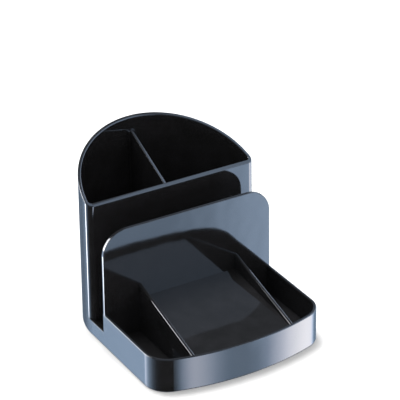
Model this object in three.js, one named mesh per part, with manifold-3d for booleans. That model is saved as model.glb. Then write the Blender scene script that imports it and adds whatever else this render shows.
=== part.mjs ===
// Desk organizer in glossy black moulded plastic: a low tray with a raised note holder, an upright
// letter slot and a D-shaped pencil cup with a slanted rim. Millimetres, +Z up, +Y to the back.
// The origin is the centre of the footprint, on the surface that the rubber feet stand on.
import * as THREE from 'three';
import { mergeVertices } from 'three/addons/utils/BufferGeometryUtils.js';
import Module from 'manifold-3d';

// --- Driving dimensions ---------------------------------------------------------------------
const WIDTH = 137.4;            // across X, at the base
const LENGTH = 166.4;           // front of the tray to back of the cup
const SIDE_DRAFT = 0.0075;      // each side leans in this many mm per mm of height
const SKIRT_Z = 0.3;            // lower edge of the walls, above the surface
const FIT = 0.3;                // gap between pieces that meet

// Tray
const TRAY_LENGTH = 82.35;      // front of the tray to the front face of the letter panel
const TRAY_TOP_Z = 26.1;        // top of the tray wall
const TRAY_WALL = 2.2;
const TRAY_CORNER_R = 18.6;     // front corners
const TRAY_FRONT_R = 194.2;     // gentle bulge of the front wall
const FLOOR_UNDER_Z = 2.8;      // underside of the floors
const FLOOR_Z = 5.0;            // top of the floors

// Letter slot
const PANEL_T = 2.5;
const PANEL_TOP_Z = 90.85;
const PANEL_CORNER_R = 18.6;
const PANEL_TONGUE_X = 38;      // centre of each tongue that locks the panel into the tray floor
const PANEL_TONGUE_W = 16;
const SLOT_GAP = 18.4;          // panel to cup
const SILL_Z = 11.5;            // top of the low side walls that close the ends of the slot
const SLOT_FLOOR_Z = 9.2;
const SLOT_FLOOR_T = 2.2;
const SLOT_LAP = 1.2;           // depth of the groove in the cup that holds the slot floor

// Pencil cup
const CUP_DEPTH = LENGTH - TRAY_LENGTH - PANEL_T - SLOT_GAP;
const CUP_WALL = 2.4;
const CUP_FRONT_WALL = 2.8;
const CUP_CORNER_R = 4.8;       // upright front corners, outside
const CUP_INNER_CORNER_R = 2.4;
const RIM_FRONT_Z = 102.75;     // rim height at the front face of the cup
const RIM_SLOPE = 0.449;        // rise of the rim per mm towards the back

// Divider and its guide ribs
const DIVIDER_T = 2.0;
const DIVIDER_RECESS = 9.3;     // depth of its top edge below the rim
const RIB_W = 1.5;
const RIB_DEPTH = 2.0;

// Note holder
const WELL_INNER_W = 77.2;      // takes a 76 mm square note pad
const WELL_WALL = 2.4;
const WELL_WALL_TOP_Z = 44.2;   // top of its side walls at the letter panel
const WELL_WALL_SLOPE = 0.27;
const DECK_TOP_Z = 32.4;        // top of the note deck at the letter panel
const DECK_SLOPE = 0.124;
const DECK_T = 2.2;

// Feet
const FOOT_R = 6;
const FOOT_CHAMFER = 0.6;
const FOOT_PLACES = {
  foot_front_left: [-50, -56],
  foot_front_right: [50, -56],
  foot_rear_left: [-38, 54],
  foot_rear_right: [38, 54],
};

// --- Derived places -------------------------------------------------------------------------
const HALF_W = WIDTH / 2;
const FRONT_Y = -LENGTH / 2;
const PANEL_Y = FRONT_Y + TRAY_LENGTH;
const PANEL_BACK_Y = PANEL_Y + PANEL_T;
const CUP_Y = PANEL_BACK_Y + SLOT_GAP;
const CUP_INNER_Y = CUP_Y + CUP_FRONT_WALL;
const CUP_INNER_BACK_Y = CUP_Y + CUP_DEPTH - CUP_WALL;
const WELL_OUTER_X = WELL_INNER_W / 2 + WELL_WALL;
const TOO_HIGH = 150;           // above everything, for cutting tools
const CLEAR = 5;                // how far a cutting tool runs past what it cuts
const BITE = 0.5;               // how far joined shapes reach into each other

const BLACK_PLASTIC = { color: 0x08090b, roughness: 0.14, metalness: 0 };
const BLACK_RUBBER = { color: 0x151515, roughness: 0.85, metalness: 0 };

// --- Solid modelling helpers ----------------------------------------------------------------
const wasm = await Module();
wasm.setup();

// A closed three.js geometry as a manifold-3d solid.
function solid(geometry) {
  const bare = geometry.clone();
  bare.deleteAttribute('normal');
  bare.deleteAttribute('uv');
  const merged = mergeVertices(bare, 1e-4);
  return new wasm.Manifold(new wasm.Mesh({
    numProp: 3,
    vertProperties: new Float32Array(merged.attributes.position.array),
    triVerts: new Uint32Array(merged.index.array),
  }));
}

// Leans the sides in with height, as a moulding is drafted.
function draft(x, z) {
  return x * (1 - (SIDE_DRAFT * z) / HALF_W);
}

// A manifold-3d solid as a three.js geometry, drafted.
function geometryOf(body) {
  const mesh = body.getMesh();
  const positions = new Float32Array(mesh.vertProperties);
  for (let i = 0; i < positions.length; i += 3) {
    positions[i] = draft(positions[i], positions[i + 2]);
  }
  const geometry = new THREE.BufferGeometry();
  geometry.setAttribute('position', new THREE.BufferAttribute(positions, 3));
  geometry.setIndex(new THREE.BufferAttribute(new Uint32Array(mesh.triVerts), 1));
  geometry.computeVertexNormals();
  return geometry;
}

// Points on an elliptical arc, angles in radians, both ends included.
function arc(cx, cy, rx, ry, from, to, steps) {
  const points = [];
  for (let i = 0; i <= steps; i += 1) {
    const angle = from + ((to - from) * i) / steps;
    points.push(new THREE.Vector2(cx + rx * Math.cos(angle), cy + ry * Math.sin(angle)));
  }
  return points;
}

function mirrored(points) {
  return points.map((point) => new THREE.Vector2(-point.x, point.y)).reverse();
}

// A plan outline raised from z0 to z1.
function raised(points, z0, z1) {
  const geometry = new THREE.ExtrudeGeometry(new THREE.Shape(points), {
    depth: z1 - z0,
    bevelEnabled: false,
  });
  geometry.translate(0, 0, z0);
  return solid(geometry);
}

// A side profile, given as [y, z] pairs, run across from x0 to x1.
function across(profile, x0, x1) {
  const shape = new THREE.Shape(profile.map(([y, z]) => new THREE.Vector2(y, z)));
  const geometry = new THREE.ExtrudeGeometry(shape, { depth: x1 - x0, bevelEnabled: false });
  geometry.translate(0, 0, x0);
  geometry.applyMatrix4(new THREE.Matrix4().set(
    0, 0, 1, 0,
    1, 0, 0, 0,
    0, 1, 0, 0,
    0, 0, 0, 1,
  ));
  return solid(geometry);
}

function box(x0, x1, y0, y1, z0, z1) {
  const geometry = new THREE.BoxGeometry(x1 - x0, y1 - y0, z1 - z0);
  geometry.translate((x0 + x1) / 2, (y0 + y1) / 2, (z0 + z1) / 2);
  return solid(geometry);
}

function part(name, geometry, look) {
  const mesh = new THREE.Mesh(geometry, new THREE.MeshStandardMaterial(look));
  mesh.name = name;
  return mesh;
}

// --- Outlines -------------------------------------------------------------------------------
// Tray plan, moved in by inset and running back to y1.
function trayOutline(inset, y1) {
  const arcCentreY = FRONT_Y + TRAY_FRONT_R;
  const cornerX = HALF_W - TRAY_CORNER_R;
  const reach = TRAY_FRONT_R - TRAY_CORNER_R;
  const cornerY = arcCentreY - Math.sqrt(reach ** 2 - cornerX ** 2);
  const cornerR = TRAY_CORNER_R - inset;
  const frontR = TRAY_FRONT_R - inset;
  const turn = Math.atan2(cornerY - arcCentreY, cornerX);
  const right = [
    ...arc(0, arcCentreY, frontR, frontR, -Math.PI / 2, turn, 14).slice(1, -1),
    ...arc(cornerX, cornerY, cornerR, cornerR, turn, 0, 12),
    new THREE.Vector2(HALF_W - inset, y1),
  ];
  return [new THREE.Vector2(0, FRONT_Y + inset), ...right, ...mirrored(right)];
}

// Cup plan: a flat front at y0, upright corners of radius r, and a half-elliptical back.
function cupOutline(y0, inset, r) {
  const a = HALF_W - inset;
  const b = CUP_DEPTH - inset;
  if (r === 0) return arc(0, CUP_Y, a, b, 0, Math.PI, 56);
  const start = y0 + r - CUP_Y;
  const from = Math.asin(start / (b - (r * a) / b));
  const normal = Math.atan2(a * Math.sin(from), b * Math.cos(from));
  const cornerX = a * Math.cos(from) - r * Math.cos(normal);
  const right = [
    ...arc(cornerX, y0 + r, r, r, -Math.PI / 2, normal, 7),
    ...arc(0, CUP_Y, a, b, from, Math.PI / 2, 28).slice(1),
  ];
  return [...right, ...mirrored(right).slice(1)];
}

// Rim height at a place along Y.
function rimZ(y) {
  return RIM_FRONT_Z + RIM_SLOPE * (y - CUP_Y);
}

// --- Sub-parts ------------------------------------------------------------------------------
// Tray moulding: floor, wall, the slot's floor and its two low sills.
function trayBase() {
  const rearY = CUP_Y - FIT;
  const slotFloorFrontY = PANEL_BACK_Y + FIT;
  const innerX = HALF_W - TRAY_WALL;
  let body = raised(trayOutline(0, rearY), SKIRT_Z, TRAY_TOP_Z)
    .subtract(raised(trayOutline(TRAY_WALL, rearY + CLEAR), FLOOR_Z, TOO_HIGH))
    .subtract(raised(trayOutline(TRAY_WALL, rearY + CLEAR), -CLEAR, FLOOR_UNDER_Z))
    .subtract(box(-WIDTH, WIDTH, PANEL_BACK_Y, rearY + CLEAR, SILL_Z, TOO_HIGH))
    .subtract(box(-innerX, innerX, slotFloorFrontY + SLOT_FLOOR_T, rearY + CLEAR, 0, FLOOR_Z + BITE));
  const slotFloorUnderZ = SLOT_FLOOR_Z - SLOT_FLOOR_T;
  const reachX = innerX + BITE;
  body = body.add(box(-reachX, reachX, slotFloorFrontY, rearY, slotFloorUnderZ, SLOT_FLOOR_Z));
  body = body.add(box(-innerX + SLOT_LAP, innerX - SLOT_LAP, rearY - BITE, CUP_Y + SLOT_LAP - FIT,
    slotFloorUnderZ, SLOT_FLOOR_Z));
  body = body.add(box(-reachX, reachX, slotFloorFrontY, slotFloorFrontY + SLOT_FLOOR_T,
    FLOOR_UNDER_Z, SLOT_FLOOR_Z));
  for (const side of [-1, 1]) {
    const x = side * PANEL_TONGUE_X;
    const half = PANEL_TONGUE_W / 2 + FIT;
    body = body.subtract(box(x - half, x + half, PANEL_Y - FIT, PANEL_BACK_Y + FIT,
      0, FLOOR_Z + CLEAR));
  }
  return part('tray_base', geometryOf(body), BLACK_PLASTIC);
}

// Upright letter panel: full width above the tray wall, tucked between the walls below it,
// with two tongues through the tray floor.
function frontPanel() {
  const tuckX = HALF_W - TRAY_WALL - FIT;
  const shoulderZ = TRAY_TOP_Z + FIT;
  const cornerX = HALF_W - PANEL_CORNER_R;
  const cornerZ = PANEL_TOP_Z - PANEL_CORNER_R;
  const tongueX0 = PANEL_TONGUE_X - PANEL_TONGUE_W / 2;
  const tongueX1 = PANEL_TONGUE_X + PANEL_TONGUE_W / 2;
  const right = [
    new THREE.Vector2(tongueX0, FLOOR_Z + FIT),
    new THREE.Vector2(tongueX0, FLOOR_UNDER_Z),
    new THREE.Vector2(tongueX1, FLOOR_UNDER_Z),
    new THREE.Vector2(tongueX1, FLOOR_Z + FIT),
    new THREE.Vector2(tuckX, FLOOR_Z + FIT),
    new THREE.Vector2(tuckX, shoulderZ),
    new THREE.Vector2(HALF_W, shoulderZ),
    ...arc(cornerX, cornerZ, PANEL_CORNER_R, PANEL_CORNER_R, 0, Math.PI / 2, 14),
  ];
  const shape = new THREE.Shape([...right, ...mirrored(right)]);
  const geometry = new THREE.ExtrudeGeometry(shape, { depth: PANEL_T, bevelEnabled: false });
  geometry.rotateX(Math.PI / 2);
  geometry.translate(0, PANEL_BACK_Y, 0);
  return part('front_panel', geometryOf(solid(geometry)), BLACK_PLASTIC);
}

// D-shaped cup moulding, square-cornered below the sills and round-cornered above them,
// with a groove for the slot floor and two pairs of guide ribs for the divider.
function pencilCup() {
  const innerPlan = cupOutline(CUP_INNER_Y, CUP_WALL, CUP_INNER_CORNER_R);
  const rimProfile = [
    [CUP_Y - CLEAR, 0],
    [CUP_Y + CUP_DEPTH + CLEAR, 0],
    [CUP_Y + CUP_DEPTH + CLEAR, rimZ(CUP_Y + CUP_DEPTH + CLEAR)],
    [CUP_Y - CLEAR, rimZ(CUP_Y - CLEAR)],
  ];
  const grooveX = HALF_W - TRAY_WALL - SLOT_LAP + FIT;
  let body = raised(cupOutline(CUP_Y, 0, 0), SKIRT_Z, SILL_Z)
    .add(raised(cupOutline(CUP_Y, 0, CUP_CORNER_R), SILL_Z - BITE, TOO_HIGH))
    .subtract(raised(innerPlan, FLOOR_Z, TOO_HIGH + CLEAR))
    .subtract(raised(innerPlan, -CLEAR, FLOOR_UNDER_Z))
    .subtract(box(-grooveX, grooveX, CUP_Y - CLEAR, CUP_Y + SLOT_LAP,
      SLOT_FLOOR_Z - SLOT_FLOOR_T - FIT, SLOT_FLOOR_Z + FIT));
  const ribX = DIVIDER_T / 2 + FIT;
  const ribEnds = [
    [CUP_INNER_Y - BITE, CUP_INNER_Y + RIB_DEPTH],
    [CUP_INNER_BACK_Y - RIB_DEPTH, CUP_INNER_BACK_Y + BITE],
  ];
  for (const [y0, y1] of ribEnds) {
    const topZ = rimZ(y0) - DIVIDER_RECESS;
    body = body.add(box(ribX, ribX + RIB_W, y0, y1, FLOOR_Z - BITE, topZ));
    body = body.add(box(-ribX - RIB_W, -ribX, y0, y1, FLOOR_Z - BITE, topZ));
  }
  body = body.intersect(across(rimProfile, -WIDTH, WIDTH));
  return part('pencil_cup', geometryOf(body), BLACK_PLASTIC);
}

// Flat divider that drops between the guide ribs; its top edge runs parallel to the rim.
function cupDivider() {
  const y0 = CUP_INNER_Y + FIT;
  const y1 = CUP_INNER_BACK_Y - FIT;
  const profile = [
    [y0, FLOOR_Z + FIT],
    [y1, FLOOR_Z + FIT],
    [y1, rimZ(y1) - DIVIDER_RECESS],
    [y0, rimZ(y0) - DIVIDER_RECESS],
  ];
  const body = across(profile, -DIVIDER_T / 2, DIVIDER_T / 2);
  return part('cup_divider', geometryOf(body), BLACK_PLASTIC);
}

// Raised note holder: a sloping deck between two side walls that taper away to the front.
function noteHolder() {
  const backY = PANEL_Y - FIT;
  const run = backY - FRONT_Y;
  const wallProfile = [
    [FRONT_Y, FLOOR_Z + FIT],
    [backY, FLOOR_Z + FIT],
    [backY, WELL_WALL_TOP_Z],
    [FRONT_Y, WELL_WALL_TOP_Z - WELL_WALL_SLOPE * run],
  ];
  const deckFrontZ = DECK_TOP_Z - DECK_SLOPE * run;
  const deckProfile = [
    [FRONT_Y, deckFrontZ - DECK_T],
    [backY, DECK_TOP_Z - DECK_T],
    [backY, DECK_TOP_Z],
    [FRONT_Y, deckFrontZ],
  ];
  const innerX = WELL_INNER_W / 2;
  const body = across(deckProfile, -innerX - BITE, innerX + BITE)
    .add(across(wallProfile, -WELL_OUTER_X, -innerX))
    .add(across(wallProfile, innerX, WELL_OUTER_X))
    .intersect(raised(trayOutline(TRAY_WALL + FIT, PANEL_Y), 0, TOO_HIGH));
  return part('note_holder', geometryOf(body), BLACK_PLASTIC);
}

// Round rubber foot with a chamfered lower edge, under the floor.
function foot(name, [x, y]) {
  const top = FLOOR_UNDER_Z - FIT;
  const profile = [
    new THREE.Vector2(0, 0),
    new THREE.Vector2(FOOT_R - FOOT_CHAMFER, 0),
    new THREE.Vector2(FOOT_R, FOOT_CHAMFER),
    new THREE.Vector2(FOOT_R, top),
    new THREE.Vector2(0, top),
  ];
  const geometry = new THREE.LatheGeometry(profile, 24);
  geometry.rotateX(Math.PI / 2);
  const mesh = part(name, geometry, BLACK_RUBBER);
  mesh.position.set(x, y, 0);
  return mesh;
}

// --- Assembly -------------------------------------------------------------------------------
const organizer = new THREE.Group();
organizer.add(trayBase());
organizer.add(frontPanel());
organizer.add(pencilCup());
organizer.add(cupDivider());
organizer.add(noteHolder());
for (const [name, place] of Object.entries(FOOT_PLACES)) {
  organizer.add(foot(name, place));
}

export default organizer;
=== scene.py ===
"""Looks of the desk organizer: glossy black moulded plastic on a white studio floor.

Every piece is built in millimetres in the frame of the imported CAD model, with the rounded edges that a
moulding has, and takes the place of its plain CAD node. +Z is up and +Y is to the back.
"""

import math

import bmesh
import bpy
from mathutils import Matrix, Vector

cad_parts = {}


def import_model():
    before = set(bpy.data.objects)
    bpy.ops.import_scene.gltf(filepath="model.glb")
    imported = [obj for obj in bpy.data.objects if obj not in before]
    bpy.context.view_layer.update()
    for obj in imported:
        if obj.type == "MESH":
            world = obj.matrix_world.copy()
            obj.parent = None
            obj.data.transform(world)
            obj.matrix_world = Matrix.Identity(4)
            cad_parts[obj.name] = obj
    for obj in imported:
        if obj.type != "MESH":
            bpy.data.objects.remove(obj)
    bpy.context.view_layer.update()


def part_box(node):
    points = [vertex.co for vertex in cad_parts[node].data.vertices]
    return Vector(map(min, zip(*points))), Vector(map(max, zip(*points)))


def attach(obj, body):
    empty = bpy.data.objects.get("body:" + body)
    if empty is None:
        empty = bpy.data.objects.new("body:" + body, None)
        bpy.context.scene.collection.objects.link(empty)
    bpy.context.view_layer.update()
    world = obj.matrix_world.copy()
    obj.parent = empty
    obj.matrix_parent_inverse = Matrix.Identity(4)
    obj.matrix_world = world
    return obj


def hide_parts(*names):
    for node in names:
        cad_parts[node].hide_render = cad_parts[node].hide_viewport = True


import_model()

MM = 0.001


def span(node):
    """Lowest and highest corner of a CAD node, in millimetres."""
    low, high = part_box(node)
    return low / MM, high / MM


# --- Places and sizes from the frame -------------------------------------------------------------
TRAY_LOW, TRAY_HIGH = span("tray_base")
PANEL_LOW, PANEL_HIGH = span("front_panel")
CUP_LOW, CUP_HIGH = span("pencil_cup")
DIVIDER_LOW, DIVIDER_HIGH = span("cup_divider")

SIDE_DRAFT = 0.0075            # each side leans in this many mm per mm of height
SKIRT_Z = TRAY_LOW.z
HALF_W = TRAY_HIGH.x + SIDE_DRAFT * SKIRT_Z
FRONT_Y = TRAY_LOW.y
TRAY_TOP_Z = TRAY_HIGH.z
PANEL_Y, PANEL_BACK_Y = PANEL_LOW.y, PANEL_HIGH.y
PANEL_TOP_Z = PANEL_HIGH.z
CUP_Y, CUP_BACK_Y = CUP_LOW.y, CUP_HIGH.y
CUP_DEPTH = CUP_BACK_Y - CUP_Y

# --- Sizes of the mouldings ----------------------------------------------------------------------
SEAM = 0.05                    # hairline gap between pieces that meet
TRAY_WALL = 2.2
TRAY_CORNER_R = 18.6
TRAY_FRONT_R = 194.2           # gentle bulge of the front wall
FLOOR_UNDER_Z = 2.8
FLOOR_Z = 5.0
SILL_Z = 11.5                  # low walls that close the ends of the letter slot
SLOT_FLOOR_Z = 9.2
SLOT_FLOOR_T = 2.2
SLOT_LAP = 1.2
PANEL_CORNER_R = 18.6
PANEL_EDGE_DRAFT = 0.12        # the front face is this much smaller all round than the back face
PANEL_TONGUE_X = 38
PANEL_TONGUE_W = 16
CUP_WALL = 2.4
CUP_FRONT_WALL = 2.8
CUP_CORNER_R = 4.8
CUP_INNER_CORNER_R = 2.4
RIM_FRONT_Z = 102.75
RIM_SLOPE = 0.449
DIVIDER_T = 2.0
DIVIDER_RECESS = 9.3
DIVIDER_PLAY = 0.3
RIB_W = 1.5
RIB_DEPTH = 2.0
WELL_INNER_W = 77.2
WELL_WALL = 2.4
WELL_WALL_TOP_Z = 44.2
WELL_WALL_SLOPE = 0.27
DECK_TOP_Z = 32.4
DECK_SLOPE = 0.124
DECK_T = 2.2
FOOT_NODES = ("foot_front_left", "foot_front_right", "foot_rear_left", "foot_rear_right")

# Radii of the rounded edges
TRAY_EDGE_R = 0.6
SILL_EDGE_R = 0.8
PANEL_EDGE_R = 0.45
RIM_EDGE_R = 0.55
DIVIDER_EDGE_R = 0.4
WELL_EDGE_R = 0.6
SHARP = math.radians(32)       # faces at more than this to each other meet in an edge, not in a curve

CUP_INNER_Y = CUP_Y + CUP_FRONT_WALL
CUP_INNER_BACK_Y = CUP_BACK_Y - CUP_WALL
TOO_HIGH = 150                 # above everything, for cutting tools
CLEAR = 5                      # how far a cutting tool runs past what it cuts
BITE = 0.5                     # how far joined shapes reach into each other


# --- Outlines ------------------------------------------------------------------------------------
def arc(cx, cy, rx, ry, start, end, steps):
    """Points on an elliptical arc, both ends included."""
    angles = [start + (end - start) * i / steps for i in range(steps + 1)]
    return [(cx + rx * math.cos(a), cy + ry * math.sin(a)) for a in angles]


def mirrored(points):
    return [(-x, y) for x, y in reversed(points)]


def tray_outline(inset, y1):
    """Tray plan, moved in by inset and running back to y1."""
    arc_centre_y = FRONT_Y + TRAY_FRONT_R
    corner_x = HALF_W - TRAY_CORNER_R
    reach = TRAY_FRONT_R - TRAY_CORNER_R
    corner_y = arc_centre_y - math.sqrt(reach**2 - corner_x**2)
    turn = math.atan2(corner_y - arc_centre_y, corner_x)
    front_r, corner_r = TRAY_FRONT_R - inset, TRAY_CORNER_R - inset
    right = arc(0, arc_centre_y, front_r, front_r, -math.pi / 2, turn, 15)[1:-1]
    right += arc(corner_x, corner_y, corner_r, corner_r, turn, 0, 28)
    right.append((HALF_W - inset, y1))
    return [(0, FRONT_Y + inset)] + right + mirrored(right)


def cup_outline(y0, inset, r, square=False):
    """Cup plan: a flat front at y0, corners of radius r or square ones, and a half-elliptical back."""
    a, b = HALF_W - inset, CUP_DEPTH - inset
    start = math.asin((y0 + r - CUP_Y) / (b - r * a / b))
    normal = math.atan2(a * math.sin(start), b * math.cos(start))
    corner_x = a * math.cos(start) - r * math.cos(normal)
    right = arc(corner_x, y0 + r, r, r, -math.pi / 2, normal, 12)
    if square:
        right = arc(0, CUP_Y, a, b, 0, start, 4)
    right += arc(0, CUP_Y, a, b, start, math.pi / 2, 56)[1:]
    return right + mirrored(right)[1:]


def rim_z(y):
    return RIM_FRONT_Z + RIM_SLOPE * (y - CUP_Y)


# --- Mesh building -------------------------------------------------------------------------------
def mesh_object(name, points, faces):
    mesh = bpy.data.meshes.new(name)
    mesh.from_pydata(points, [], faces)
    obj = bpy.data.objects.new(name, mesh)
    bpy.context.scene.collection.objects.link(obj)
    return obj


def band(start, count):
    """Faces between a ring of count points, whose first has the index start, and the ring after it."""
    pairs = [(start + i, start + (i + 1) % count) for i in range(count)]
    return [(a, b, b + count, a + count) for a, b in pairs]


def solid(name, rings):
    """A closed mesh from two rings of points with the same count."""
    count = len(rings[0])
    faces = [tuple(reversed(range(count))), tuple(range(count, 2 * count))] + band(0, count)
    obj = mesh_object(name, rings[0] + rings[1], faces)
    tidy(obj)
    return obj


def turned(name, profile, centre, steps=48):
    """A closed mesh turned about an upright axis from (radius, z) points, both ends on the axis."""
    rings = profile[1:-1]
    angles = [2 * math.pi * i / steps for i in range(steps)]
    points = [(centre.x + r * math.cos(a), centre.y + r * math.sin(a), z) for r, z in rings for a in angles]
    bottom, top = len(points), len(points) + 1
    points += [(centre.x, centre.y, profile[0][1]), (centre.x, centre.y, profile[-1][1])]
    last = (len(rings) - 1) * steps
    faces = [(bottom, (i + 1) % steps, i) for i in range(steps)]
    for ring in range(len(rings) - 1):
        faces += band(ring * steps, steps)
    faces += [(top, last + i, last + (i + 1) % steps) for i in range(steps)]
    return mesh_object(name, points, faces)


def raised(points, z0, z1, name="tool"):
    """A plan outline raised from z0 to z1."""
    return solid(name, [[(x, y, z0) for x, y in points], [(x, y, z1) for x, y in points]])


def across(profile, x0, x1, name="tool"):
    """A side profile of (y, z) points run across from x0 to x1."""
    return solid(name, [[(x0, y, z) for y, z in profile], [(x1, y, z) for y, z in profile]])


def block(x0, x1, y0, y1, z0, z1):
    return raised([(x0, y0), (x1, y0), (x1, y1), (x0, y1)], z0, z1)


def tidy(obj):
    """Merges doubles and coplanar faces, and points every face outwards."""
    bm = bmesh.new()
    bm.from_mesh(obj.data)
    bmesh.ops.remove_doubles(bm, verts=bm.verts, dist=2e-3)
    bmesh.ops.dissolve_limit(bm, angle_limit=math.radians(0.05), verts=bm.verts, edges=bm.edges)
    bmesh.ops.recalc_face_normals(bm, faces=bm.faces)
    bm.to_mesh(obj.data)
    bm.free()


def combine(obj, operation, tools):
    """Adds, cuts or intersects obj with each tool in turn. The tools are used up."""
    for tool in tools:
        modifier = obj.modifiers.new("combine", "BOOLEAN")
        modifier.operation = operation
        modifier.solver = "EXACT"
        modifier.object = tool
        apply_modifiers(obj)
        bpy.data.objects.remove(tool)
    tidy(obj)


def cut(obj, *tools):
    combine(obj, "DIFFERENCE", tools)


def join(obj, *tools):
    combine(obj, "UNION", tools)


def apply_modifiers(obj):
    depsgraph = bpy.context.evaluated_depsgraph_get()
    mesh = bpy.data.meshes.new_from_object(obj.evaluated_get(depsgraph))
    obj.modifiers.clear()
    old = obj.data
    obj.data = mesh
    bpy.data.meshes.remove(old)


def round_edges(obj, radius, chosen, steps=3):
    """Rounds the sharp edges that chosen(middle, edge) picks."""
    bm = bmesh.new()
    bm.from_mesh(obj.data)
    sharp = []
    for edge in bm.edges:
        if len(edge.link_faces) == 2 and abs(edge.calc_face_angle_signed()) > SHARP:
            middle = (edge.verts[0].co + edge.verts[1].co) / 2
            if chosen(middle, edge):
                sharp.append(edge)
    bmesh.ops.bevel(bm, geom=sharp, offset=radius, segments=steps, profile=0.5,
                    affect="EDGES", clamp_overlap=True)
    bm.to_mesh(obj.data)
    bm.free()


def convex(edge):
    return edge.calc_face_angle_signed() > 0


def piece(obj, name, node, body, material, drafted=True):
    """Turns a finished solid into a piece of the object that stands for a CAD node."""
    obj.name = name
    obj.data.name = name
    for vertex in obj.data.vertices:
        x, y, z = vertex.co
        if drafted:
            x *= 1 - SIDE_DRAFT * z / HALF_W
        vertex.co = Vector((x, y, z)) * MM
    obj.data.polygons.foreach_set("use_smooth", [True] * len(obj.data.polygons))
    obj.data.set_sharp_from_angle(angle=SHARP)
    obj.data.materials.clear()
    obj.data.materials.append(material)
    weighted = obj.modifiers.new("weighted_normal", "WEIGHTED_NORMAL")
    weighted.mode = "FACE_AREA"
    weighted.weight = 60
    weighted.keep_sharp = True
    apply_modifiers(obj)
    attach(obj, body)
    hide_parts(node)


# --- Materials -----------------------------------------------------------------------------------
class Nodes:
    """A short way to write node trees."""

    def __init__(self, tree):
        self.tree = tree
        tree.nodes.clear()

    def add(self, kind, inputs=None, **settings):
        node = self.tree.nodes.new(kind)
        for key, value in settings.items():
            setattr(node, key, value)
        for key, value in (inputs or {}).items():
            if isinstance(value, bpy.types.NodeSocket):
                self.tree.links.new(value, node.inputs[key])
            else:
                node.inputs[key].default_value = value
        return node

    def math(self, operation, a, b=0.0):
        return self.add("ShaderNodeMath", {0: a, 1: b}, operation=operation).outputs[0]

    def ramp(self, factor, stops, interpolation="LINEAR"):
        """A colour ramp from (position, colour) stops."""
        node = self.add("ShaderNodeValToRGB", {"Fac": factor})
        ramp = node.color_ramp
        ramp.interpolation = interpolation
        for _ in stops[2:]:
            ramp.elements.new(0.5)
        for element, (position, colour) in zip(ramp.elements, stops):
            element.position = position
            element.color = (*colour, 1.0)
        return node.outputs["Color"]

    def spread(self, value, low, high):
        """Maps 0..1 to low..high."""
        return self.add("ShaderNodeMapRange", {"Value": value, "To Min": low, "To Max": high}).outputs[0]

    def smooth(self, value, start, end):
        """Rises smoothly from 0 at start to 1 at end."""
        return self.add("ShaderNodeMapRange", {"Value": value, "From Min": start, "From Max": end},
                        interpolation_type="SMOOTHSTEP").outputs[0]


def gloss_plastic():
    """Moulded black styrene: mirror-like, with a faint waviness, fine grain and light handling haze."""
    material = bpy.data.materials.new("gloss_black_plastic")
    material.use_nodes = True
    n = Nodes(material.node_tree)
    place = n.add("ShaderNodeTexCoord").outputs["Object"]
    flow = n.add("ShaderNodeTexNoise", {"Vector": place, "Scale": 28.0, "Detail": 2.0}).outputs["Fac"]
    haze = n.add("ShaderNodeTexNoise", {"Vector": place, "Scale": 95.0, "Detail": 4.0}).outputs["Fac"]
    grain = n.add("ShaderNodeTexNoise", {"Vector": place, "Scale": 2600.0, "Detail": 3.0}).outputs["Fac"]
    colour = n.ramp(haze, [(0.30, (0.011, 0.011, 0.0115)), (0.75, (0.0155, 0.0155, 0.017))])
    roughness = n.math("ADD", n.spread(haze, 0.02, 0.07), n.spread(grain, 0.0, 0.03))
    wave = n.add("ShaderNodeBump", {"Strength": 0.25, "Distance": 0.0004, "Height": flow})
    surface = n.add("ShaderNodeBump", {"Strength": 0.025, "Distance": 0.00004, "Height": grain,
                                       "Normal": wave.outputs["Normal"]})
    shader = n.add("ShaderNodeBsdfPrincipled", {"Base Color": colour, "Roughness": roughness,
                                                "IOR": 1.58, "Normal": surface.outputs["Normal"]})
    n.add("ShaderNodeOutputMaterial", {"Surface": shader.outputs["BSDF"]})
    return material


def foot_rubber():
    """Matt black rubber with a fine bloom on it."""
    material = bpy.data.materials.new("black_rubber")
    material.use_nodes = True
    n = Nodes(material.node_tree)
    place = n.add("ShaderNodeTexCoord").outputs["Object"]
    bloom = n.add("ShaderNodeTexNoise", {"Vector": place, "Scale": 340.0, "Detail": 5.0}).outputs["Fac"]
    grain = n.add("ShaderNodeTexNoise", {"Vector": place, "Scale": 3200.0, "Detail": 4.0}).outputs["Fac"]
    colour = n.ramp(bloom, [(0.3, (0.010, 0.010, 0.011)), (0.75, (0.030, 0.030, 0.032))])
    bump = n.add("ShaderNodeBump", {"Strength": 0.5, "Distance": 0.0001, "Height": grain})
    shader = n.add("ShaderNodeBsdfPrincipled", {"Base Color": colour, "IOR": 1.52,
                                                "Roughness": n.spread(bloom, 0.62, 0.9),
                                                "Normal": bump.outputs["Normal"]})
    n.add("ShaderNodeOutputMaterial", {"Surface": shader.outputs["BSDF"]})
    return material


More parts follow.
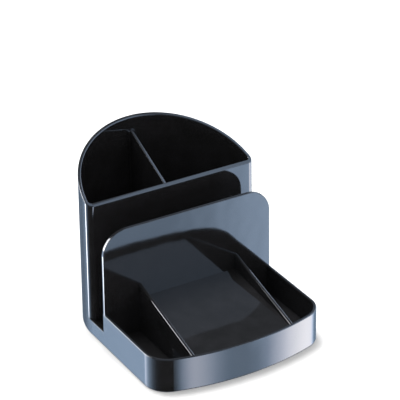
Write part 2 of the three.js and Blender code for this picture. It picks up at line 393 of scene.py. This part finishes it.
# --- Pieces --------------------------------------------------------------------------------------
def tray_base():
    """Tray, its low walls at the slot, and the floor of the slot."""
    rear_y = CUP_Y - SEAM
    web_y = PANEL_BACK_Y + SEAM
    inner_x = HALF_W - TRAY_WALL
    reach_x = inner_x + BITE
    slot_under_z = SLOT_FLOOR_Z - SLOT_FLOOR_T
    body = raised(tray_outline(0, rear_y), SKIRT_Z, TRAY_TOP_Z, "tray")
    cut(body,
        raised(tray_outline(TRAY_WALL, rear_y + CLEAR), FLOOR_Z, TOO_HIGH),
        raised(tray_outline(TRAY_WALL, rear_y + CLEAR), -CLEAR, FLOOR_UNDER_Z),
        block(-TOO_HIGH, TOO_HIGH, PANEL_BACK_Y, rear_y + CLEAR, SILL_Z, TOO_HIGH),
        block(-inner_x, inner_x, web_y + SLOT_FLOOR_T, rear_y + CLEAR, 0, FLOOR_Z + BITE))
    join(body,
         block(-reach_x, reach_x, web_y, rear_y, slot_under_z, SLOT_FLOOR_Z),
         block(SLOT_LAP - inner_x, inner_x - SLOT_LAP, rear_y - BITE, CUP_Y + SLOT_LAP - SEAM,
               slot_under_z, SLOT_FLOOR_Z),
         block(-reach_x, reach_x, web_y, web_y + SLOT_FLOOR_T, FLOOR_UNDER_Z, SLOT_FLOOR_Z))
    for side in (-1, 1):
        x, half = side * PANEL_TONGUE_X, PANEL_TONGUE_W / 2 + SEAM
        cut(body, block(x - half, x + half, PANEL_Y - SEAM, web_y, 0, FLOOR_Z + CLEAR))
    front = lambda middle, edge: middle.y < PANEL_Y - 1 and convex(edge)
    round_edges(body, TRAY_EDGE_R, front)
    sill = lambda middle, edge: (abs(middle.z - SILL_Z) < 0.1 and abs(middle.x) > inner_x + 0.1
                                 and PANEL_BACK_Y < middle.y < rear_y and convex(edge))
    round_edges(body, SILL_EDGE_R, sill)
    return body


def front_panel():
    """Upright letter panel with rounded top corners and two tongues through the tray floor."""
    tuck_x = HALF_W - TRAY_WALL - SEAM
    shoulder_z = TRAY_TOP_Z + SEAM
    foot_z = FLOOR_Z + SEAM
    tongue_x0, tongue_x1 = PANEL_TONGUE_X - PANEL_TONGUE_W / 2, PANEL_TONGUE_X + PANEL_TONGUE_W / 2
    right = [(tongue_x0, foot_z), (tongue_x0, FLOOR_UNDER_Z), (tongue_x1, FLOOR_UNDER_Z),
             (tongue_x1, foot_z), (tuck_x, foot_z), (tuck_x, shoulder_z), (HALF_W, shoulder_z)]
    corner = (HALF_W - PANEL_CORNER_R, PANEL_TOP_Z - PANEL_CORNER_R)

    def outline(inset):
        r = PANEL_CORNER_R - inset
        half = right[:-1] + [(HALF_W - inset, shoulder_z)] + arc(*corner, r, r, 0, math.pi / 2, 24)
        return half + mirrored(half)

    body = solid("panel", [[(x, PANEL_Y, z) for x, z in outline(PANEL_EDGE_DRAFT)],
                           [(x, PANEL_BACK_Y, z) for x, z in outline(0)]])
    free = lambda middle, edge: middle.z > shoulder_z + 0.5 and convex(edge)
    round_edges(body, PANEL_EDGE_R, free)
    return body


def pencil_cup():
    """D-shaped cup with a slanted rim and two pairs of guide ribs for the divider."""
    inner = cup_outline(CUP_INNER_Y, CUP_WALL, CUP_INNER_CORNER_R)
    groove_x = HALF_W - TRAY_WALL - SLOT_LAP + SEAM
    body = raised(cup_outline(CUP_Y, 0, CUP_CORNER_R, square=True), SKIRT_Z, SILL_Z, "cup")
    join(body, raised(cup_outline(CUP_Y, 0, CUP_CORNER_R), SILL_Z - BITE, TOO_HIGH))
    cut(body,
        raised(inner, FLOOR_Z, TOO_HIGH + CLEAR),
        raised(inner, -CLEAR, FLOOR_UNDER_Z),
        block(-groove_x, groove_x, CUP_Y - CLEAR, CUP_Y + SLOT_LAP,
              SLOT_FLOOR_Z - SLOT_FLOOR_T - SEAM, SLOT_FLOOR_Z + SEAM))
    rib_x = DIVIDER_T / 2 + DIVIDER_PLAY
    ends = ((CUP_INNER_Y - BITE, CUP_INNER_Y + RIB_DEPTH),
            (CUP_INNER_BACK_Y - RIB_DEPTH, CUP_INNER_BACK_Y + BITE))
    for y0, y1 in ends:
        top = rim_z(y0) - DIVIDER_RECESS
        for x0 in (rib_x, -rib_x - RIB_W):
            join(body, block(x0, x0 + RIB_W, y0, y1, FLOOR_Z - BITE, top))
    y0, y1 = CUP_Y - CLEAR, CUP_BACK_Y + CLEAR
    cut(body, across([(y0, rim_z(y0)), (y1, rim_z(y1)), (y1, 2 * TOO_HIGH), (y0, 2 * TOO_HIGH)],
                     -TOO_HIGH, TOO_HIGH))
    rim = lambda middle, edge: abs(middle.z - rim_z(middle.y)) < 0.2 and convex(edge)
    round_edges(body, RIM_EDGE_R, rim)
    return body


def cup_divider():
    """Flat divider with a soft top edge that runs parallel to the rim."""
    y0, y1 = DIVIDER_LOW.y, DIVIDER_HIGH.y
    z0 = DIVIDER_LOW.z
    profile = [(y0, z0), (y1, z0), (y1, rim_z(y1) - DIVIDER_RECESS), (y0, rim_z(y0) - DIVIDER_RECESS)]
    body = across(profile, -DIVIDER_T / 2, DIVIDER_T / 2, "divider")
    round_edges(body, DIVIDER_EDGE_R, lambda middle, edge: convex(edge))
    return body


def note_holder():
    """Sloping note deck between two side walls that taper away to the front."""
    back_y = PANEL_Y - SEAM
    run = back_y - FRONT_Y
    inner_x, outer_x = WELL_INNER_W / 2, WELL_INNER_W / 2 + WELL_WALL
    deck_front_z = DECK_TOP_Z - DECK_SLOPE * run
    walls = [(FRONT_Y, FLOOR_Z + SEAM), (back_y, FLOOR_Z + SEAM), (back_y, WELL_WALL_TOP_Z),
             (FRONT_Y, WELL_WALL_TOP_Z - WELL_WALL_SLOPE * run)]
    deck = [(FRONT_Y, deck_front_z - DECK_T), (back_y, DECK_TOP_Z - DECK_T), (back_y, DECK_TOP_Z),
            (FRONT_Y, deck_front_z)]
    body = across(deck, -inner_x - BITE, inner_x + BITE, "holder")
    join(body, across(walls, -outer_x, -inner_x), across(walls, inner_x, outer_x))
    combine(body, "INTERSECT", [raised(tray_outline(TRAY_WALL + SEAM, PANEL_Y), 0, TOO_HIGH)])
    lengthways = lambda edge: abs(edge.verts[0].co.x - edge.verts[1].co.x) < 0.01
    upper = lambda middle, edge: middle.z > DECK_TOP_Z - 5 and convex(edge) and lengthways(edge)
    round_edges(body, WELL_EDGE_R, upper)
    return body


def foot(node):
    """Round rubber foot with soft edges and a shallow dished sole."""
    low, high = span(node)
    centre = (low + high) / 2
    radius = (high.x - low.x) / 2
    soft, chamfer = 0.7, 0.3
    profile = [(0.0, 0.25), (radius * 0.55, 0.22), (radius * 0.72, 0.0)]
    profile += [(radius - soft + soft * math.sin(a), soft - soft * math.cos(a))
                for a in (math.radians(15 * i) for i in range(7))]
    profile += [(radius, high.z - chamfer), (radius - chamfer, high.z), (0.0, high.z)]
    return turned(node, profile, centre)


# --- Studio --------------------------------------------------------------------------------------
def studio_floor():
    """White floor that shows the soft shadow but stays out of the reflections."""
    half = 6.0
    corners = [(-half, -half, 0), (half, -half, 0), (half, half, 0), (-half, half, 0)]
    floor = mesh_object("studio_floor", corners, [(0, 1, 2, 3)])
    material = bpy.data.materials.new("white_floor")
    material.use_nodes = True
    n = Nodes(material.node_tree)
    place = n.add("ShaderNodeTexCoord").outputs["Object"]
    paper = n.add("ShaderNodeTexNoise", {"Vector": place, "Scale": 60.0, "Detail": 3.0}).outputs["Fac"]
    colour = n.ramp(paper, [(0.3, (0.84, 0.84, 0.845)), (0.7, (0.88, 0.88, 0.88))])
    shader = n.add("ShaderNodeBsdfDiffuse", {"Color": colour})
    n.add("ShaderNodeOutputMaterial", {"Surface": shader.outputs["BSDF"]})
    floor.data.materials.append(material)
    floor.visible_glossy = False


# Brightness of what stands round the object below eye level, by direction in degrees from the front
# (-Y) towards the right (+X). Rounded and adjusted from levels measured in the photograph's
# reflections, so they belong to this lighting and say nothing about the plastic.
RING = [
    (-180, 0.33), (-174, 0.45), (-169, 0.65), (-163, 1.00), (-158, 1.30), (-153, 1.78), (-147, 2.70),
    (-141, 4.60), (-133, 3.60), (-122, 2.40), (-102, 1.05), (-84, 0.27), (-62, 0.02),
    (-6, 0.02), (-3, 0.60), (-1, 2.50), (2, 4.50), (6, 5.60), (14, 3.85), (20, 2.35),
    (27, 1.98), (33, 2.02), (38, 2.50), (43, 3.80), (52, 6.95), (59, 8.65), (67, 8.65),
    (81, 5.40), (95, 1.80), (109, 0.75), (160, 0.25), (180, 0.33),
]
# Nearer to eye level the ring is nowhere brighter than this, so low views from the sides keep their
# contrast.
CALM = 3.0
# Brightness above eye level, by the sine of the elevation.
DOME = [
    (0.0, 0.50), (0.25, 0.40), (0.40, 0.60), (0.495, 0.60), (0.52, 0.25), (0.60, 0.06), (0.84, 0.06),
    (0.90, 0.22), (1.0, 0.40),
]
# Where the calm ring, and then the dome, takes over, and where the light under the floor fades out, all
# by the sine of the elevation.
CALM_START, CALM_END = -0.435, -0.37
DOME_START, DOME_END = -0.25, 0.08
DARK_BELOW, LIT_ABOVE = -0.85, -0.65
# Soft panels on top of these. Direction in degrees, half width and softness of the upright edges; lower
# and upper edge as the sine of the elevation and their softness; brightness.
PANELS = [
    (-138, 8, 2, -0.51, -0.44, 0.02, 16.0),    # low strip at the back left
    (-138, 8, 2, -0.14, 0.53, 0.04, 14.0),     # the same above eye level
    (-125, 11, 2, -0.12, 0.78, 0.04, 12.0),    # taller strip beside it
    (62, 42, 6, 0.25, 0.76, 0.10, 3.0),        # high softbox at the front right
    (87, 26.7, 1.2, 0.80, 0.96, 0.03, 1.5),    # narrow softbox above it
    (116, 14, 4, 0.25, 0.76, 0.06, 4.5),       # window at the back right
    (35.5, 4, 2.6, -0.52, 0.00, 0.012, 3.0),   # small fill that lights the letter panel
]
BRIGHTEST = 10.5               # scale of the levels above, which keeps the ramps' colours below 1


def cool(level):
    """The colour of a panel: the brighter it is, the whiter."""
    share = level / BRIGHTEST
    blue = min(0.8, max(0.1, 1 - share))
    return (share * (1 - 0.42 * blue**2), share, share * (1 + 0.48 * blue))


def world():
    """Pale studio with soft panels round the object; the camera sees plain white."""
    scene_world = bpy.data.worlds.new("studio")
    bpy.context.scene.world = scene_world
    scene_world.use_nodes = True
    n = Nodes(scene_world.node_tree)
    direction = n.add("ShaderNodeTexCoord").outputs["Generated"]
    axes = n.add("ShaderNodeSeparateXYZ", {"Vector": direction}).outputs
    turn = n.math("ARCTAN2", axes["X"], n.math("MULTIPLY", axes["Y"], -1.0))
    degrees = n.math("DEGREES", turn)
    around = n.math("ADD", n.math("DIVIDE", turn, 2 * math.pi), 0.5)
    ring = n.ramp(around, [((a + 180) / 360, cool(level)) for a, level in RING], "CARDINAL")
    calm = n.ramp(around, [((a + 180) / 360, cool(min(level, CALM))) for a, level in RING], "CARDINAL")
    dome = n.ramp(axes["Z"], [(z, cool(level)) for z, level in DOME], "EASE")
    for above, low, high in ((calm, CALM_START, CALM_END), (dome, DOME_START, DOME_END)):
        mixed = n.add("ShaderNodeMix", data_type="RGBA")
        parts = {"Factor_Float": n.smooth(axes["Z"], low, high), "A_Color": ring, "B_Color": above}
        for key, value in parts.items():
            n.tree.links.new(value, next(i for i in mixed.inputs if i.identifier == key))
        ring = mixed.outputs[2]
    off_floor = n.math("MULTIPLY", n.smooth(axes["Z"], DARK_BELOW, LIT_ABOVE), BRIGHTEST)
    total = n.add("ShaderNodeBackground", {"Color": ring, "Strength": off_floor}).outputs[0]
    for azimuth, half_width, blur, low, high, edge, level in PANELS:
        offset = n.math("ABSOLUTE", n.math("SUBTRACT", degrees, azimuth))
        share = n.math("MULTIPLY", n.smooth(axes["Z"], low - edge, low + edge),
                       n.smooth(axes["Z"], high + edge, high - edge))
        share = n.math("MULTIPLY", share, n.smooth(offset, half_width + blur, half_width - blur))
        colour = tuple(part * BRIGHTEST for part in cool(level)) + (1.0,)
        glow = n.add("ShaderNodeBackground", {"Color": colour, "Strength": share})
        total = n.add("ShaderNodeAddShader", {0: total, 1: glow.outputs[0]}).outputs[0]
    overhead = n.spread(n.smooth(axes["Z"], 0.0, 0.7), 0.1, 1.1)
    soft = n.add("ShaderNodeBackground", {"Color": (1.0, 0.995, 0.98, 1.0), "Strength": overhead})
    plain = n.add("ShaderNodeBackground", {"Color": (1.0, 1.0, 1.0, 1.0), "Strength": 1.1})
    ray = n.add("ShaderNodeLightPath").outputs
    lit = n.add("ShaderNodeMixShader", {0: ray["Is Glossy Ray"], 1: soft.outputs[0], 2: total})
    seen = n.add("ShaderNodeMixShader", {0: ray["Is Camera Ray"], 1: lit.outputs[0], 2: plain.outputs[0]})
    n.add("ShaderNodeOutputWorld", {"Surface": seen.outputs[0]})


def soft_light(name, place, size, power):
    """A square soft light aimed at the middle of the object."""
    data = bpy.data.lights.new(name, "AREA")
    data.size = size
    data.energy = power
    light = bpy.data.objects.new(name, data)
    bpy.context.scene.collection.objects.link(light)
    light.location = place
    aim = Vector((0, 0, 0.05)) - Vector(place)
    light.rotation_mode = "QUATERNION"
    light.rotation_quaternion = aim.to_track_quat("-Z", "Y")
    light.visible_glossy = False
    light.visible_camera = False


def camera():
    """Looks down at the front left corner from a little above, with a long lens."""
    azimuth, elevation, roll = math.radians(-30.25), math.radians(28.22), math.radians(-0.62)
    distance = 1.413
    target = Vector((0.00997, -0.00085, 0.0967))
    back = Vector((math.sin(azimuth) * math.cos(elevation), -math.cos(azimuth) * math.cos(elevation),
                   math.sin(elevation)))
    right = (-back).cross(Vector((0, 0, 1))).normalized()
    up = right.cross(-back)
    data = bpy.data.cameras.new("camera")
    data.lens = 180.76
    data.sensor_width = 36
    data.clip_start = 0.05
    data.clip_end = 50
    eye = bpy.data.objects.new("camera", data)
    bpy.context.scene.collection.objects.link(eye)
    x_axis = right * math.cos(roll) + up * math.sin(roll)
    y_axis = up * math.cos(roll) - right * math.sin(roll)
    place = target + back * distance
    eye.matrix_world = Matrix((
        (x_axis.x, y_axis.x, back.x, place.x),
        (x_axis.y, y_axis.y, back.y, place.y),
        (x_axis.z, y_axis.z, back.z, place.z),
        (0, 0, 0, 1)))
    bpy.context.scene.camera = eye


# --- Assembly ------------------------------------------------------------------------------------
plastic = gloss_plastic()
rubber = foot_rubber()
mouldings = (
    (tray_base, "tray_base", "organizer"),
    (front_panel, "front_panel", "organizer"),
    (pencil_cup, "pencil_cup", "organizer"),
    (cup_divider, "cup_divider", "divider"),
    (note_holder, "note_holder", "organizer"),
)
for build, node, body_name in mouldings:
    piece(build(), "gloss_" + node, node, body_name, plastic)
for node in FOOT_NODES:
    piece(foot(node), "rubber_" + node, node, "organizer", rubber, drafted=False)

studio_floor()
world()
soft_light("key", (-0.02, 0.40, 1.6), 0.6, 24)
camera()
bpy.context.scene.view_settings.view_transform = "Standard"

bpy.context.view_layer.update()
